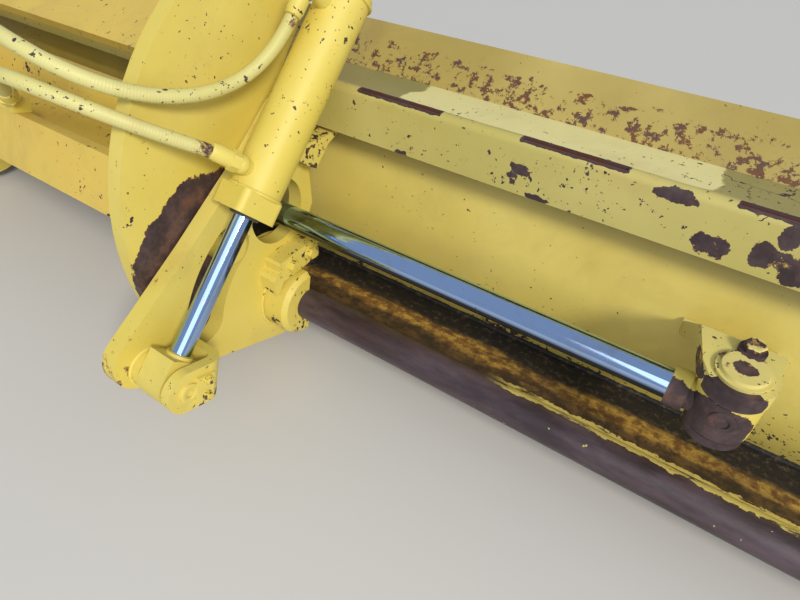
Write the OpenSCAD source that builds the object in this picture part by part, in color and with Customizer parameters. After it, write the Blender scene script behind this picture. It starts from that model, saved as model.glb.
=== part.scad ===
// Rear of a motor grader's blade group: curved moldboard on a round slide bar, carried by two
// tilt plates that turn on two legs, with two tip cylinders and a side-shift cylinder.
// X runs along the blade, +Y is the way the machine drives and +Z is up.
// Points of the side view are (y, z) from the slide bar's axis, as built.

/* [Blade] */
// Length of the moldboard
blade_len = 3658; // [3000:10:4200]
// Distance of the moldboard's middle from the middle of the legs, as parked
blade_shift = 204; // [0:1:300]
// Radius of the moldboard's convex back
back_r = 440; // [400:1:480]
// Distance from the slide bar's axis to the rearmost line of the moldboard's back
back_gap = 165; // [158:1:172]
// Centre of the moldboard's curve, above the slide bar
back_z = 119; // [112:1:126]
// Angle of the moldboard's top edge about its centre
top_angle = 120.5; // [119:0.5:122]
// Angle of the moldboard's lower edge about its centre
low_angle = 210.6; // [208:0.1:213]
// Thickness of the moldboard's plate
moldboard_t = 22; // [16:1:28]
// Thickness of the cutting edges
edge_t = 19; // [13:1:25]
// Angle that the cutting edges cover
edge_span = 28; // [24:0.5:30]
// How much of the cutting edges' angle lies below the moldboard
edge_drop = 11; // [8:0.1:14]
// Length of each end bit along the blade
end_bit_len = 150; // [120:5:200]
// Gap between neighbouring edges and bits
edge_gap = 2; // [1:0.5:4]

/* [Slide bar and rail] */
// Diameter of the slide bar
bar_d = 70; // [60:1:72]
// How much the slide bar is shorter than the moldboard at each end
bar_inset = 30; // [10:5:60]
// Thickness of the web between the bar and the moldboard
web_t = 30; // [20:1:34]
// Slope of the web, down towards the moldboard
web_slope = 10; // [8:0.5:12]
// Thickness of the upper rail's bent plate
rail_t = 18; // [12:1:20]
// Outer corner of the rail, forward of the slide bar
rail_y = 165; // [164:0.5:168]
// Outer corner of the rail, above the slide bar
rail_z = 449; // [446:0.5:450]
// Height of the rail's lip
lip_h = 97; // [88:1:98]
// Slope of the rail's top, down towards the moldboard
rail_slope = 8; // [7.5:0.5:9]
// Outer radius of the rail's bend
rail_bend_r = 14; // [8:1:17]
// Distance between the slots in the rail's top
rail_slot_pitch = 343; // [320:1:350]
// Length of each slot in the rail's top
rail_slot_len = 178; // [140:1:200]
// Width of each slot in the rail's top
rail_slot_w = 8; // [6:1:16]
// Depth of each slot in the rail's top
rail_slot_depth = 9; // [5:1:12]

/* [Tilt plates] */
// Outer face of each tilt plate, from the middle of the legs
plate_x = 695; // [680:1:720]
// Thickness of a tilt plate
plate_t = 35; // [30:1:40]
// Hinge pin of the tip cylinder's rod, behind the slide bar
lug_y = -360; // [-362:0.5:-358]
// Hinge pin of the tip cylinder's rod, above the slide bar
lug_z = 80; // [78:0.5:82]
// Centre of the tilt plate's round rear end, behind the slide bar
end_y = -365; // [-370:1:-360]
// Centre of the tilt plate's round rear end, above the slide bar
end_z = 100; // [94:1:106]
// Radius of the tilt plate's rear end
lug_end_r = 58; // [54:1:62]
// Side-shift cylinder's axis, forward of the slide bar
shift_y = 12; // [8:1:16]
// Side-shift cylinder's axis, above the slide bar
shift_z = 217; // [215:1:219]
// Radius of the hole that the side-shift cylinder passes
shift_hole_r = 72; // [66:1:74]
// Radius of the curved slot's middle line about the slide bar
slot_r = 238; // [234:1:242]
// Half of the curved slot's width
slot_half_w = 47; // [45:1:49]
// Angle of the curved slot's upper end
slot_top_angle = 120.5; // [120:0.5:123]
// Angle of the curved slot's lower end
slot_low_angle = 160.5; // [159:0.5:161]
// Radius of the guide stud in the curved slot
stud_r = 33; // [28:1:34]
// How far the guide stud stands out of the tilt plate
stud_proud = 8; // [4:1:30]

/* [Bearing and keepers] */
// Outer radius of the bearing shell
shell_r = 77; // [70:1:80]
// How far the bearing shell stands out of the tilt plate
shell_proud = 65; // [55:1:70]
// Running clearance between the bar and the shell
bar_clearance = 0.1; // [0.05:0.01:0.1]
// Angle of the bearing shell's upper end
shell_top_angle = 75; // [70:1:80]
// Angle of the bearing shell's lower end
shell_low_angle = 262; // [255:1:268]
// Depth of the keeper block along the bar
keeper_depth = 42; // [34:1:50]
// Length of the keeper block
keeper_len = 120; // [100:1:126]
// Height of the keeper block
keeper_h = 50; // [44:1:52]
// Thickness of the rail guide along the bar
guide_t = 35; // [28:1:38]

/* [Legs] */
// Thickness of a leg's plate
leg_t = 32; // [25:1:40]
// Gap between a leg and its tilt plate
leg_gap = 5; // [5:0.5:10]
// Radius of the leg's curved rear edge
leg_r = 485; // [480:1:490]
// Outer radius of the leg's hook round the bearing shell
hook_r = 125; // [115:1:130]
// Running clearance between the leg's hook and the shell
hook_clearance = 0.1; // [0.05:0.01:0.1]
// Thickness of the top flange
flange_t = 20; // [16:1:25]
// Width of the top flange along the blade
flange_w = 120; // [110:1:130]
// Length of the top flange fore and aft
flange_len = 340; // [300:5:340]
// Distance between the mounting holes fore and aft
mount_spacing_y = 220; // [180:5:230]
// Distance from each mounting hole to the leg's inner face
mount_inset = 33; // [28:1:45]
// Radius of the mounting holes
mount_hole_r = 13; // [9:0.5:16]
// Thickness of the cross-beam's plates
beam_t = 25; // [16:1:30]
// Height of the cross-beam's rear plate
beam_h = 108; // [90:1:120]

/* [Tip cylinders] */
// Length from the rod's pin to the barrel's pin, as parked
tip_len = 840.4; // [839:0.1:842]
// Slope of the tip cylinders, as parked
tip_slope = 42.25; // [42.1:0.05:42.4]
// Radius of the tip cylinder's barrel
tip_barrel_r = 48; // [46:0.5:48]
// Bore radius of the tip cylinder's barrel
tip_bore_r = 38; // [36:1:41]
// Radius of the tip cylinder's rod
tip_rod_r = 19; // [16:1:20]
// Side of the square gland block
gland_side = 89; // [84:1:92]
// Radius of the gland block's corners
gland_round = 12; // [8:1:16]
// Turn of the gland block about the cylinder's axis
gland_turn = 12; // [8:1:20]
// How far the gland block's middle stands above the cylinder's axis
gland_rise = 6; // [0:1:8]
// Length of the gland block along the cylinder
gland_len = 42; // [36:1:50]
// Rod that shows between its pin and the gland, as parked
rod_out = 330; // [325:1:340]
// Width of the cylinder's eyes
eye_w = 60; // [56:1:64]
// Radius of the rod's eye
rod_eye_r = 42; // [40:1:44]
// Radius of the cylinder's pins
tip_pin_r = 19; // [16:1:21]
// Thickness of the lug's outer ear
ear_t = 20; // [18:1:24]
// Gap between an eye and its ears
ear_gap = 5; // [5:0.5:8]
// Radius of the lug's outer ear
ear_r = 43; // [40:1:45]

/* [Side-shift cylinder] */
// Radius of the side-shift rod
shift_rod_r = 24; // [20:0.5:26]
// Radius of the side-shift barrel
shift_barrel_r = 44; // [40:1:48]
// Bore radius of the side-shift barrel
shift_bore_r = 36; // [32:1:38]
// Distance from the blade's middle to the shift bracket's pin
bracket_x = 1375; // [1300:1:1400]
// Radius of the side-shift rod's eye
shift_eye_r = 46; // [44:1:50]
// Height of the side-shift rod's eye
shift_eye_h = 70; // [64:1:76]
// How far the middle of that eye stands above the rod's axis
shift_eye_rise = 9; // [4:1:10]
// Thickness of the bracket's upper ear
bracket_t = 30; // [26:1:34]
// Thickness of the bracket's lower ear
low_ear_t = 16; // [12:1:24]
// Radius of the bracket's pin
bracket_pin_r = 22; // [18:1:25]

/* [Hoses] */
// Outer diameter of the hoses
hose_d = 24; // [20:1:24]

/* [Hidden] */
$fn = 96;

// Paints of the finished part
paint = "khaki";
bare = "dimgray";
bright = "silver";
greased = "saddlebrown";

// The origin is the middle of the four mounting holes, on the flanges' top faces
mount_y = 170;
mount_z = 710;

bar_r = bar_d / 2;
leg_x = plate_x - plate_t - leg_gap;
leg_inner_x = leg_x - leg_t;
shell_end_x = plate_x + shell_proud;
eye_play = 3;
back_y = back_gap + back_r;
front_r = back_r - moldboard_t;
edge_low_angle = low_angle + edge_drop;
edge_high_angle = edge_low_angle - edge_span;

// The legs' rear edge is an arc of radius leg_r between these two points
leg_top = [8.7, mount_z - flange_t];
leg_low = [-226.1, -25];
leg_chord = leg_top - leg_low;
leg_arc_depth = sqrt(leg_r * leg_r - norm(leg_chord) * norm(leg_chord) / 4);
leg_arc = (leg_top + leg_low) / 2 + leg_arc_depth * [leg_chord[1], -leg_chord[0]] / norm(leg_chord);

// The cylinders' line stands off the tilt plate by the gland block and its running gap
gland_reach = (gland_side / 2 - gland_round) * (cos(gland_turn) + sin(gland_turn)) + gland_round;
tip_x = plate_x + ear_gap + gland_reach;
tip_dir = [cos(tip_slope), sin(tip_slope)];
base_y = lug_y + tip_len * tip_dir[0];
base_z = lug_z + tip_len * tip_dir[1];
ear_x = tip_x + eye_w / 2 + ear_gap;
boss_x = tip_x - eye_w / 2 - ear_gap;

function polar(r, a) = [r * cos(a), r * sin(a)];
function at(c, r, a) = [c[0] + r * cos(a), c[1] + r * sin(a)];
function arc(c, r, a0, a1, n) = [for (i = [0 : n]) at(c, r, a0 + (a1 - a0) * i / n)];

// Moves a part from the slide bar's axis to the mount's origin
module in_frame() {
    translate([0, -mount_y, -mount_z]) children();
}

// Mirrors a right-hand part to the left
module on_side(left) {
    mirror([left ? 1 : 0, 0, 0]) children();
}

// Plate with its outline in the side view, from x0 to x0 + t
module side_plate(x0, t) {
    translate([x0, 0, 0]) rotate([90, 0, 90]) linear_extrude(t) children();
}

// Round bar along X in the side view's point c
module cross_round(c, r, x0, t) {
    translate([x0, c[0], c[1]]) rotate([0, 90, 0]) cylinder(r = r, h = t);
}

// Sector of a ring in the side view
module ring_sector(c, r_out, r_in, a0, a1) {
    steps = 8;
    far = r_out * 1.3;
    intersection() {
        translate(c) difference() {
            circle(r_out, $fn = 180);
            circle(r_in, $fn = 180);
        }
        polygon(concat([c], arc(c, far, a0, a1, steps)));
    }
}

// Long plate of the blade with a sector of a ring as its section
module blade_sector(x0, len, r_out, r_in, a0, a1) {
    side_plate(x0, len) ring_sector([back_y, back_z], r_out, r_in, a0, a1);
}

blade_x0 = blade_shift - blade_len / 2;

module moldboard() {
    color(paint) in_frame()
        blade_sector(blade_x0, blade_len, back_r, front_r, top_angle, low_angle);
}

module cutting_edges() {
    edge_len = (blade_len - 2 * end_bit_len - 3 * edge_gap) / 2;
    color(bare) in_frame() for (i = [0, 1])
        blade_sector(blade_x0 + end_bit_len + edge_gap + i * (edge_len + edge_gap), edge_len,
            front_r, front_r - edge_t, edge_high_angle, edge_low_angle);
}

module end_bits() {
    color(bare) in_frame() for (x = [blade_x0, blade_x0 + blade_len - end_bit_len])
        blade_sector(x, end_bit_len, front_r, front_r - edge_t, edge_high_angle, edge_low_angle + 1);
}

// Bent plate whose lip runs down behind the rail guides
module rail_section() {
    difference() {
        translate([rail_y, rail_z]) rotate(-rail_slope) union() {
            translate([0, -lip_h]) square([rail_t, lip_h - rail_bend_r]);
            translate([rail_bend_r, -rail_t]) square([back_r / 2, rail_t]);
            translate([rail_bend_r, -rail_bend_r]) circle(rail_bend_r);
            translate([rail_bend_r - 1, -rail_t]) square([rail_t - rail_bend_r + 1, rail_t - rail_bend_r + 1]);
        }
        translate([back_y, back_z]) circle(back_r, $fn = 180);
    }
}

module rail() {
    half_count = floor((blade_len / 2 - rail_slot_len / 2) / rail_slot_pitch);
    color(paint) in_frame() difference() {
        side_plate(blade_x0, blade_len) rail_section();
        for (i = [-half_count : half_count])
            translate([blade_shift + i * rail_slot_pitch, rail_y, rail_z]) rotate([-rail_slope, 0, 0])
                translate([-rail_slot_len / 2, rail_bend_r - 8, -rail_slot_depth])
                    cube([rail_slot_len, rail_slot_w, 2 * rail_slot_depth]);
    }
}

// Round bar and its web in one piece, the web's front end cut to the moldboard's back
module slide_bar() {
    bar_len = blade_len - 2 * bar_inset;
    color(greased) in_frame() translate([blade_x0 + bar_inset, 0, 0]) rotate([90, 0, 90])
        linear_extrude(bar_len) difference() {
            union() {
                circle(bar_r);
                rotate(-web_slope) translate([0, -web_t / 2]) square([back_r / 2, web_t]);
            }
            translate([back_y, back_z]) circle(back_r, $fn = 180);
        }
}

shift_axis = [shift_y, shift_z];
pin_x = blade_shift + bracket_x;

eye_mid_z = shift_z + shift_eye_rise;
bracket_top_z = eye_mid_z + shift_eye_h / 2 + eye_play;
bracket_low_z = eye_mid_z - shift_eye_h / 2 - eye_play;

// The upper ear is flat over the rod's eye, then slopes down to the moldboard
module shift_bracket() {
    top_z = bracket_top_z;
    low_z = bracket_low_z;
    r = shift_eye_r + 2;
    low_r = shift_eye_r - 2;
    color(paint) in_frame() difference() {
        union() {
            intersection() {
                translate([pin_x, shift_y, low_z]) linear_extrude(200) {
                    circle(r);
                    polygon([[-40, -26], [-53, -4], [-104, 175], [46, 175], [46, 0], [40, -26]]);
                }
                side_plate(pin_x - 200, 400) polygon([
                    [-60, top_z], [-60, top_z + bracket_t], [76, top_z + bracket_t],
                    [185, 198], [185, 165], [66, top_z]
                ]);
            }
            translate([pin_x, shift_y, low_z - low_ear_t]) linear_extrude(low_ear_t) {
                circle(low_r);
                translate([-low_r, 0]) square([2 * low_r, 175]);
            }
        }
        translate([pin_x, shift_y, low_z - 50]) cylinder(r = bracket_pin_r, h = 300);
        side_plate(pin_x - 200, 400) translate([back_y, back_z]) circle(back_r, $fn = 180);
    }
}

module shift_pin() {
    cap_z = bracket_top_z + bracket_t;
    stem = cap_z - bracket_low_z + low_ear_t;
    color(paint) in_frame() translate([pin_x, shift_y, 0]) {
        translate([0, 0, cap_z - stem]) cylinder(r = bracket_pin_r, h = stem + 1);
        translate([0, 0, cap_z]) cylinder(r = 38, h = 5);
        translate([0, 0, cap_z + 5]) cylinder(r1 = 33, r2 = 31, h = 5);
        translate([1, 45, cap_z]) cylinder(r = 19, h = 4);
        translate([1, 45, cap_z + 4]) cylinder(r = 12, h = 9);
        translate([-12, 20, cap_z]) cube([24, 25, 4]);
    }
}

// The rod's hidden end stays inside the barrel over the whole travel
rod_end_x = 80;
module shift_rod() {
    color(bright) in_frame() difference() {
        union() {
            cross_round(shift_axis, shift_rod_r, rod_end_x, pin_x - rod_end_x - shift_eye_r - 12);
            cross_round(shift_axis, shift_rod_r + 2, pin_x - shift_eye_r - 13, 30);
            cross_round(shift_axis, shift_rod_r + 7, pin_x - shift_eye_r - 32, 28);
            translate([pin_x, shift_y, eye_mid_z - shift_eye_h / 2]) cylinder(r = shift_eye_r, h = shift_eye_h);
        }
        translate([pin_x, shift_y, shift_z - shift_eye_h]) cylinder(r = bracket_pin_r + 0.1, h = 2 * shift_eye_h);
    }
}

barrel_x0 = plate_t - plate_x;
barrel_x1 = 560;
gland_bore_len = 55;
module shift_barrel() {
    color(paint) in_frame() difference() {
        union() {
            cross_round(shift_axis, shift_barrel_r, barrel_x0, barrel_x1 - barrel_x0);
            cross_round(shift_axis, shift_barrel_r + 6, barrel_x1 - gland_bore_len, gland_bore_len);
        }
        cross_round(shift_axis, shift_bore_r, barrel_x0 + 22, barrel_x1 - barrel_x0 - 22 - gland_bore_len);
        cross_round(shift_axis, shift_rod_r + 0.1, barrel_x0 + 30, barrel_x1 - barrel_x0);
    }
}

// Round plug in the left tilt plate's hole that carries the side-shift barrel's base
module shift_anchor() {
    color(paint) in_frame() cross_round([shift_y, shift_z], shift_hole_r, -plate_x, plate_t);
}

// Outline of a tilt plate
module plate_outline() {
    polygon(concat([
        [-209, 255], [-32, 364], [60, 432], [110, 432], [110, 350], [118, 300], [116, 184], [80, 128],
        [30, 78], [0, 0], [-11, -112], [-40, -104], [-223, -25], [-300, 10]
    ], arc([end_y, end_z], lug_end_r, 247, 119.5, 28)));
}

module slot_outline() {
    ring_sector([0, 0], slot_r + slot_half_w, slot_r - slot_half_w, slot_top_angle, slot_low_angle);
    for (a = [slot_top_angle, slot_low_angle]) translate(polar(slot_r, a)) circle(slot_half_w);
}

module tilt_plate(left) {
    color(paint) in_frame() on_side(left) side_plate(plate_x - plate_t, plate_t) difference() {
        plate_outline();
        circle(shell_r);
        translate([shift_y, shift_z]) circle(shift_hole_r);
        slot_outline();
    }
}

// Half shell that the slide bar turns and slides in
module bearing_shell(left) {
    x0 = leg_inner_x;
    chamfer = 10;
    color(paint) in_frame() on_side(left) difference() {
        side_plate(x0, shell_end_x - x0)
            ring_sector([0, 0], shell_r, bar_r + bar_clearance, shell_top_angle, shell_low_angle);
        translate([shell_end_x - chamfer, 0, 0]) rotate([0, 90, 0]) difference() {
            cylinder(r = shell_r + 5, h = chamfer + 1);
            cylinder(r1 = shell_r, r2 = shell_r - chamfer, h = chamfer + 1);
        }
    }
}

module keeper(left) {
    low_z = shell_r + 3;
    high_z = low_z + keeper_h;
    y1 = keeper_len - 45;
    color(paint) in_frame() on_side(left) difference() {
        side_plate(plate_x, keeper_depth) polygon([
            [-66, 62], [-66, 96], [-58, 104], [-45, 108], [-45, high_z - 5], [-40, high_z],
            [y1 - 5, high_z], [y1, high_z - 5], [y1, low_z], [-40, low_z], [-50, 70], [-52, 62]
        ]);
        for (y = [-10, 48]) cross_round([y, (low_z + high_z) / 2], 14, plate_x + keeper_depth - 3, 6);
    }
}

module rail_guide(left) {
    color(paint) in_frame() on_side(left) side_plate(plate_x, guide_t) polygon([
        [60, 322], [84, 298], [105, 284], [147, 322], [196, 338], [208, 415], [184, 418],
        [175, 346], [150, 341], [112, 345], [70, 350]
    ]);
}

// Bent strap that carries the outer ear, and the boss of the inner one
strap_angle = -20;
module tip_lug(left) {
    strap_half_w = ear_r - 0.3;
    strap_reach = 66;
    bend_in = 16;
    bend_c = [ear_x - bend_in, strap_reach - bend_in];
    color(paint) in_frame() on_side(left) {
        cross_round([lug_y, lug_z], 38, plate_x, boss_x - plate_x);
        difference() {
            translate([0, lug_y, lug_z]) rotate([strap_angle, 0, 0]) {
                translate([ear_x, 0, 0]) rotate([0, 90, 0]) cylinder(r = ear_r, h = ear_t);
                translate([0, 0, -strap_half_w]) linear_extrude(2 * strap_half_w) {
                    translate([ear_x, 0]) square([ear_t, bend_c[1]]);
                    translate([plate_x, strap_reach]) square([bend_c[0] - plate_x, ear_t]);
                    translate(bend_c) intersection() {
                        difference() {
                            circle(bend_in + ear_t);
                            circle(bend_in);
                        }
                        square(bend_in + ear_t);
                    }
                }
            }
            cross_round([lug_y, lug_z], tip_pin_r, ear_x - 1, ear_t + 2);
        }
    }
}

// Outer end of the rod's pin, with its retaining plate
module lug_pin(left) {
    pin_out = 4;
    color(paint) in_frame() on_side(left) difference() {
        union() {
            cross_round([lug_y, lug_z], tip_pin_r, ear_x, ear_t + pin_out);
            translate([0, lug_y, lug_z]) rotate([strap_angle, 0, 0]) translate([ear_x + ear_t, 14, -26])
                cube([7, 38, 52]);
        }
        cross_round([lug_y, lug_z], 8, ear_x + ear_t - 10, pin_out + 20);
    }
}

base_boss_r = 42;

// Leg: a curved plate from the circle above, down to a hook round the bearing shell
module leg_outline() {
    top_z = leg_top[1];
    a_top = 180 - asin((top_z - leg_arc[1]) / leg_r);
    a_low = 180 + asin((leg_arc[1] - leg_low[1]) / leg_r);
    difference() {
        union() {
            polygon(concat(
                [[330, top_z]], arc(leg_arc, leg_r, a_top, a_low, 24),
                [[-60, -112], [-22, 0], [-22, 123], [-45, 170], [-45, 262], [40, 330], [110, 370],
                [115, 470], [225, 592], [310, 592], [330, 620]]
            ));
            circle(hook_r);
            translate([base_y, base_z]) circle(base_boss_r);
        }
        circle(shell_r + hook_clearance);
        polygon([[0, 0], polar(400, 30), polar(600, -20), polar(400, -70)]);
    }
}

module leg(left) {
    hole_x = leg_inner_x - mount_inset;
    color(paint) in_frame() on_side(left) difference() {
        union() {
            side_plate(leg_inner_x, leg_t) leg_outline();
            translate([leg_inner_x - flange_w / 2 - 3, mount_y - flange_len / 2 - 10, mount_z - flange_t])
                cube([flange_w, flange_len, flange_t]);
            cross_round([base_y, base_z], base_boss_r, leg_x - 1, boss_x - leg_x + 1);
        }
        for (s = [-1, 1]) translate([hole_x, mount_y + s * mount_spacing_y / 2, mount_z - flange_t - 1])
            cylinder(r = mount_hole_r, h = flange_t + 2);
        cross_round([base_y, base_z], tip_pin_r, leg_inner_x - 1, boss_x);
    }
}

// Stud on the leg that guides the tilt plate's curved slot
module guide_stud(left) {
    c = polar(slot_r, slot_top_angle);
    color(paint) in_frame() on_side(left)
        cross_round(c, stud_r, leg_x, plate_x + stud_proud - leg_x);
}

module base_pin(left) {
    x0 = leg_inner_x - 4;
    color(paint) in_frame() on_side(left) {
        cross_round([base_y, base_z], tip_pin_r, x0, ear_x + 12 - x0);
        cross_round([base_y, base_z], 32, ear_x, 10);
    }
}

// The beams between the legs follow the curve of the legs' rear edges
beam_a = 162;
beam_inset = 16;
function leg_edge(a, inset) = at(leg_arc, leg_r - inset, a);

module beam_plate(a, inset, h, t) {
    len = 2 * leg_inner_x;
    side_plate(-len / 2, len) translate(leg_edge(a, inset)) rotate(a - 180)
        translate([0, -h / 2]) square([t, h]);
}

module beam_box(outline) {
    len = 2 * leg_inner_x;
    side_plate(-len / 2, len) polygon(outline);
}

// Point on the front face of the rear plate, y along it from its middle
function beam_face(y) = leg_edge(beam_a, beam_inset)
    + [beam_t * cos(beam_a - 180) - y * sin(beam_a - 180), beam_t * sin(beam_a - 180) + y * cos(beam_a - 180)];

module cross_beam() {
    color(paint) in_frame() beam_plate(beam_a, beam_inset, beam_h, beam_t);
}

// Box behind and above the rear plate
module inner_beam() {
    color(greased) in_frame() {
        beam_box([beam_face(-26), [-120, 366], [-92, 470], [-110, 475], [-134, 384], beam_face(-6)]);
        beam_box([[-136, 560], [-10, 590], [-16, 612], [-150, 580]]);
    }
}

// Control points of the hoses, from the barrel's fittings to those on the cross-beam
upper_hose = [
    [751, 91, 622], [751, 0, 540], [575, 64, 330], [955, -688, 638], [300, -134, 758], [423, -329, 612],
    [267, -251, 478]
];
lower_hose = [
    [743, -118, 414], [722, -158, 455], [676, -336, 556], [470, -356, 641], [457, -305, 551], [341, -251, 473]
];
function unit(v) = v / norm(v);
function bezier(p, t) = len(p) == 1 ? p[0]
    : bezier([for (i = [0 : len(p) - 2]) p[i] * (1 - t) + p[i + 1] * t], t);
function steps_of(p) = [for (i = [0 : len(p) - 2]) p[i + 1] - p[i]];
function first_way(p) = unit(p[1] - p[0]);
function last_way(p) = unit(p[len(p) - 1] - p[len(p) - 2]);
function last_point(p) = p[len(p) - 1];

// Ring of points about c, square to the direction d
function ring(c, d, r, n) =
    let (u = unit(cross(d, [0, 0.2, 1])), w = cross(d, u))
    [for (k = [0 : n - 1]) c + r * (u * cos(360 * k / n) + w * sin(360 * k / n))];

// Tube swept along a curve
module tube(p, r) {
    n = 12;
    rings = 28;
    points = [for (i = [0 : rings]) each ring(bezier(p, i / rings), unit(bezier(steps_of(p), i / rings)), r, n)];
    walls = [for (i = [0 : rings - 1], k = [0 : n - 1]) let (b = (k + 1) % n)
        [i * n + k, i * n + b, (i + 1) * n + b, (i + 1) * n + k]];
    ends = [[for (k = [n - 1 : -1 : 0]) k], [for (k = [0 : n - 1]) rings * n + k]];
    polyhedron(points = points, faces = concat(walls, ends));
}

// Round bar from the point c along the direction d
module bar_along(c, d, r, h) {
    translate(c) rotate([0, acos(d[2]), atan2(d[1], d[0])]) cylinder(r = r, h = h);
}

module hose_upper() {
    color(paint) in_frame() tube(upper_hose, hose_d / 2);
}

module hose_lower() {
    color(paint) in_frame() tube(lower_hose, hose_d / 2);
}

// Fittings on the cross-beam that take the hoses' far ends
fitting_len = 52;
hose_gap = 0.3;
module hose_fittings() {
    color(paint) in_frame() for (p = [upper_hose, lower_hose]) {
        e = last_point(p);
        d = last_way(p);
        knee = e + d * fitting_len;
        bar_along(e + d * hose_gap, d, hose_d / 2 + 4, fitting_len - hose_gap);
        side_plate(knee[0] - 28, 56) translate(leg_edge(beam_a, beam_inset)) rotate(beam_a - 180)
            translate([-4, beam_h / 2 + 0.2]) square([beam_t + 8, 22]);
    }
}

// Elbow from a port's top to a hose's start
module port_elbow(p, reach) {
    d = first_way(p);
    knee = p[0] - d * reach;
    bar_along(knee, d, hose_d / 2 + 4, reach - hose_gap);
    translate(knee) sphere(r = hose_d / 2 + 5);
}

// Local frame along a tip cylinder: +X from the rod's pin towards the barrel's
module along_tip(left) {
    in_frame() on_side(left) translate([tip_x, lug_y, lug_z]) rotate([tip_slope, 0, 0])
        rotate([0, 0, 90]) children();
}

module axis_round(x0, len, r) {
    translate([x0, 0, 0]) rotate([0, 90, 0]) cylinder(r = r, h = len);
}

module rounded_square(side, r) {
    square([side, side - 2 * r], center = true);
    square([side - 2 * r, side], center = true);
    for (x = [-1, 1], y = [-1, 1]) translate([x, y] * (side / 2 - r)) circle(r);
}

// The hoses are on the right cylinder only
base_cap_len = 66;
module tip_barrel(left) {
    color(paint) tip_barrel_body(left);
    if (!left) color(paint) in_frame() {
        port_elbow(upper_hose, 26);
        port_elbow(lower_hose, 24);
    }
}

module tip_barrel_body(left) {
    cap_x = tip_len - base_cap_len;
    port_r = 16;
    along_tip(left) difference() {
        union() {
            axis_round(rod_out + gland_len - 1, cap_x - rod_out - gland_len + 1, tip_barrel_r);
            side_plate(rod_out, gland_len) translate([0, gland_rise]) rotate(-gland_turn)
                rounded_square(gland_side, gland_round);
            translate([cap_x - 12, -eye_w / 2, -34]) cube([base_cap_len + 12, eye_w, 68]);
            translate([tip_len, eye_w / 2, 0]) rotate([90, 0, 0]) cylinder(r = 45, h = eye_w);
            translate([rod_out + gland_len + 33, 0, 0]) cylinder(r = port_r, h = tip_barrel_r + 14);
            translate([cap_x - 50, 0, 0]) cylinder(r = port_r, h = tip_barrel_r + (left ? 14 : 50));
        }
        axis_round(rod_out + gland_len, cap_x - rod_out - gland_len - 14, tip_bore_r);
        axis_round(rod_out - 1, gland_len + 20, tip_rod_r + 0.1);
        translate([tip_len, eye_w, 0]) rotate([90, 0, 0]) cylinder(r = tip_pin_r + 0.08, h = 2 * eye_w);
    }
}

// Rod with its square head and eye
module tip_rod(left) {
    inner_end = 510;
    color(bright) along_tip(left) difference() {
        union() {
            axis_round(40, inner_end - 40, tip_rod_r);
            axis_round(40, 12, tip_rod_r + 6);
            translate([0, -eye_w / 2, -30]) cube([46, eye_w, rod_eye_r + 29.7]);
            translate([0, eye_w / 2, 0]) rotate([90, 0, 0]) cylinder(r = rod_eye_r, h = eye_w);
        }
        translate([0, eye_w, 0]) rotate([90, 0, 0]) cylinder(r = tip_pin_r + 0.5, h = 2 * eye_w);
    }
}

moldboard();
rail();
slide_bar();
cutting_edges();
end_bits();
shift_bracket();
shift_pin();
shift_rod();
shift_barrel();
shift_anchor();
tilt_plate(false);  // tilt_plate_right
tilt_plate(true);  // tilt_plate_left
bearing_shell(false);  // bearing_shell_right
bearing_shell(true);  // bearing_shell_left
keeper(false);  // keeper_right
keeper(true);  // keeper_left
rail_guide(false);  // rail_guide_right
rail_guide(true);  // rail_guide_left
tip_lug(false);  // tip_lug_right
tip_lug(true);  // tip_lug_left
lug_pin(false);  // lug_pin_right
lug_pin(true);  // lug_pin_left
leg(false);  // leg_right
leg(true);  // leg_left
guide_stud(false);  // guide_stud_right
guide_stud(true);  // guide_stud_left
base_pin(false);  // base_pin_right
base_pin(true);  // base_pin_left
cross_beam();
inner_beam();
hose_fittings();
tip_barrel(false);  // tip_barrel_right
tip_barrel(true);  // tip_barrel_left
tip_rod(false);  // tip_rod_right
tip_rod(true);  // tip_rod_left
hose_upper();
hose_lower();
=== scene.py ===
import math

import bpy
import numpy as np
from mathutils import Matrix, Vector


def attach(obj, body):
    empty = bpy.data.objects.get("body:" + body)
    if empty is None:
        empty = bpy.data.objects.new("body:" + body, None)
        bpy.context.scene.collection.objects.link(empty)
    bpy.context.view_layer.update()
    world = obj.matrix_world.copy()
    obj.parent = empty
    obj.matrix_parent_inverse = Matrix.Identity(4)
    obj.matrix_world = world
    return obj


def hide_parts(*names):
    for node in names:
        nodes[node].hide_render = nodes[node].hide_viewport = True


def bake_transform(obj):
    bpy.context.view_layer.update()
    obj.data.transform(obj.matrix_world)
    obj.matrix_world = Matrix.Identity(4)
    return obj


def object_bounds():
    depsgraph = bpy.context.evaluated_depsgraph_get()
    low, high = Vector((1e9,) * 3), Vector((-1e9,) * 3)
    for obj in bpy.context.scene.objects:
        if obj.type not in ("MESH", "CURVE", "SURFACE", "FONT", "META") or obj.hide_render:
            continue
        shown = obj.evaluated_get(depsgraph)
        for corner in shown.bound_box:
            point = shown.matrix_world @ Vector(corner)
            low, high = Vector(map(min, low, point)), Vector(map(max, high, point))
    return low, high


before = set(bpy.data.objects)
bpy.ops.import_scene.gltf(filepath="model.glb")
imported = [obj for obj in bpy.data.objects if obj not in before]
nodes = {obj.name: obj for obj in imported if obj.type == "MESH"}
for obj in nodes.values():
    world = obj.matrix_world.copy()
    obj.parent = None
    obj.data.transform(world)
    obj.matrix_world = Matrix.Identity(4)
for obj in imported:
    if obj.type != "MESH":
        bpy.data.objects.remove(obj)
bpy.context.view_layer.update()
print("frame loaded,", len(nodes), "nodes")

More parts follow.
